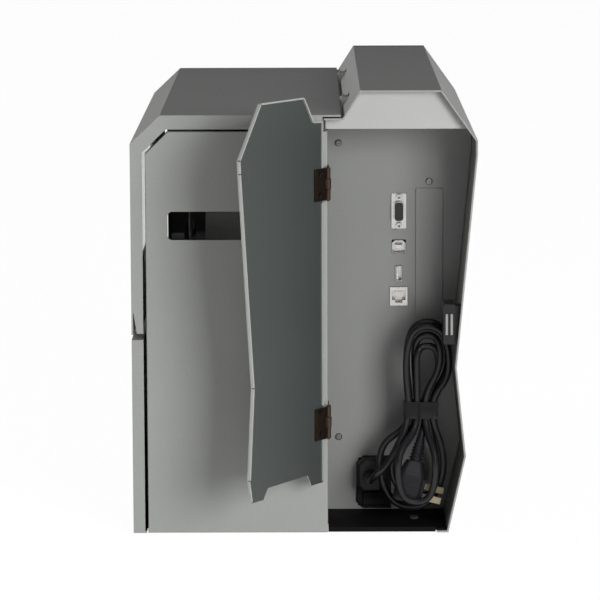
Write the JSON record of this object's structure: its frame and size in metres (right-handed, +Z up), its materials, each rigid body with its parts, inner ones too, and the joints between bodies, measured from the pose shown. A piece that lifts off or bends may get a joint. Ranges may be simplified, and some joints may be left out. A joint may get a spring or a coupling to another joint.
{
  "type": "rfid label printer",
  "caption": "Industrial label printer with an open rear cable door, ports, stowed power cord, hinged media cover, roll, ribbon and latching print head.",
  "frame": {"origin": "on the ground plane, in the middle of the case's width and midway between its front and rear media panels", "axes": "+Z up, +Y out of the back of the machine towards the connectors, +X towards the media side"},
  "size_m": [0.295, 0.5936, 0.3831],
  "materials": {
    "case_paint": "satin",
    "panel_paint": "satin",
    "cap_paint": "satin",
    "tray_paint": "satin",
    "fascia_plastic": "satin",
    "key_plastic": "satin",
    "clear_glass": "gloss",
    "display_glass": "gloss",
    "plated_steel": "satin",
    "bright_metal": "gloss",
    "cast_alloy": "matte",
    "dark_plastic": "matte",
    "grey_plastic": "matte",
    "gear_plastic": "matte",
    "cord_jacket": "matte",
    "black_rubber": "matte",
    "strap": "matte",
    "white_paper": "matte",
    "grey_card": "matte",
    "ink_film": "gloss",
    "board_green": "satin",
    "bearing_bronze": "matte",
    "head_ceramic": "satin"
  },
  "bodies": {
    "chassis": {"electronics_cover": "case_paint", "lower_side_panel": "case_paint", "rear_media_panel": "panel_paint", "front_media_panel": "panel_paint", "bulkhead": "panel_paint", "connector_panel": "panel_paint", "expansion_cover": "panel_paint", "rear_cap": "cap_paint", "base_plate": "tray_paint", "front_fascia": "fascia_plastic", "display_glass": "display_glass", "door_hinge_leaves": "plated_steel", "cover_hinge_brackets": "plated_steel", "panel_screws": "plated_steel", "catch_poles": "plated_steel", "tear_bar": "plated_steel", "damper_bar": "plated_steel", "supply_spindle": "plated_steel", "serial_port": "bright_metal", "usb_ports": "bright_metal", "network_port": "bright_metal", "plug_pins": "bright_metal", "print_frame": "cast_alloy", "power_supply": "cast_alloy", "catch_body": "dark_plastic", "power_inlet": "dark_plastic", "cord_connector": "dark_plastic", "power_plug": "dark_plastic", "media_guide": "grey_plastic", "drive_motor": "grey_plastic", "cord_lead": "cord_jacket", "cord_hank": "cord_jacket", "cord_tail": "cord_jacket", "rubber_feet": "black_rubber", "cord_tie": "strap", "main_board": "board_green", "rfid_antenna": "board_green", "platen_bushes": "bearing_bronze"},
    "media_cover": {"media_cover": "case_paint", "cover_window": "clear_glass", "cover_hinge_arms": "plated_steel"},
    "rear_door": {"rear_door": "case_paint", "door_hinge_plates": "plated_steel"},
    "label_roll": {"supply_hub": "grey_plastic", "label_roll": "white_paper", "roll_core": "grey_card"},
    "roll_guide": {"roll_guide": "grey_plastic"},
    "edge_guide": {"edge_guide": "grey_plastic"},
    "ribbon_supply": {"ribbon_supply_spindle": "grey_plastic", "ribbon_roll": "ink_film"},
    "ribbon_takeup": {"ribbon_takeup_spindle": "grey_plastic"},
    "platen": {"platen_roller": "black_rubber", "platen_gear": "gear_plastic"},
    "idler": {"idler_gear": "gear_plastic"},
    "pinion": {"motor_pinion": "bearing_bronze"},
    "printhead": {"printhead_carrier": "cast_alloy", "thermal_head": "head_ceramic"},
    "latch": {"latch_lever": "grey_plastic"},
    "rocker": {"power_rocker": "dark_plastic"},
    "front_key": {"front_key": "key_plastic"}
  },
  "joints": [
    {"name": "rear_door_hinge", "type": "hinge", "parent": "chassis", "child": "rear_door", "pos_m": [-0.0206, 0.2392, 0.2], "axis": [0, 0, -1], "range_deg": [-125, 45]},
    {"name": "media_cover_hinge", "type": "hinge", "parent": "chassis", "child": "media_cover", "pos_m": [-0.035, 0, 0.365], "axis": [0, -1, 0], "range_deg": [0, 100]},
    {"name": "label_roll_spin", "type": "hinge", "parent": "chassis", "child": "label_roll", "pos_m": [0, 0.1025, 0.215], "axis": [1, 0, 0], "continuous": true},
    {"name": "roll_guide_slide", "type": "slide", "parent": "chassis", "child": "roll_guide", "axis": [1, 0, 0], "range_m": [-0.016, 0.018]},
    {"name": "edge_guide_slide", "type": "slide", "parent": "chassis", "child": "edge_guide", "axis": [1, 0, 0], "range_m": [-0.06, 0.007]},
    {"name": "ribbon_supply_spin", "type": "hinge", "parent": "chassis", "child": "ribbon_supply", "pos_m": [0, -0.06, 0.285], "axis": [1, 0, 0], "continuous": true},
    {"name": "ribbon_takeup_spin", "type": "hinge", "parent": "chassis", "child": "ribbon_takeup", "pos_m": [0, -0.152, 0.285], "axis": [1, 0, 0], "continuous": true},
    {"name": "platen_spin", "type": "hinge", "parent": "chassis", "child": "platen", "pos_m": [0, -0.2, 0.16], "axis": [1, 0, 0], "continuous": true},
    {"name": "idler_spin", "type": "hinge", "parent": "chassis", "child": "idler", "pos_m": [0, -0.16993, 0.14906], "axis": [1, 0, 0], "continuous": true},
    {"name": "pinion_spin", "type": "hinge", "parent": "chassis", "child": "pinion", "pos_m": [0, -0.14655, 0.13556], "axis": [1, 0, 0], "continuous": true},
    {"name": "latch_turn", "type": "hinge", "parent": "chassis", "child": "latch", "pos_m": [0, -0.172, 0.206], "axis": [1, 0, 0], "range_deg": [0, 90]},
    {"name": "printhead_lift", "type": "hinge", "parent": "chassis", "child": "printhead", "pos_m": [0, -0.13, 0.208], "axis": [-1, 0, 0], "range_deg": [0, 9]},
    {"name": "rocker_tilt", "type": "hinge", "parent": "chassis", "child": "rocker", "pos_m": [-0.0608, 0.1535, 0.015], "axis": [1, 0, 0], "range_deg": [-7, 7]},
    {"name": "front_key_press", "type": "slide", "parent": "chassis", "child": "front_key", "axis": [0, 1, 0], "range_m": [0, 0.0012], "stiffness_N_per_m": 600}
  ],
  "couplings": [
    {"joint": "idler_spin", "follows": "platen_spin", "ratio": -0.6},
    {"joint": "pinion_spin", "follows": "platen_spin", "ratio": 1.7143},
    {"joint": "printhead_lift", "follows": "latch_turn", "ratio": 0.1}
  ]
}
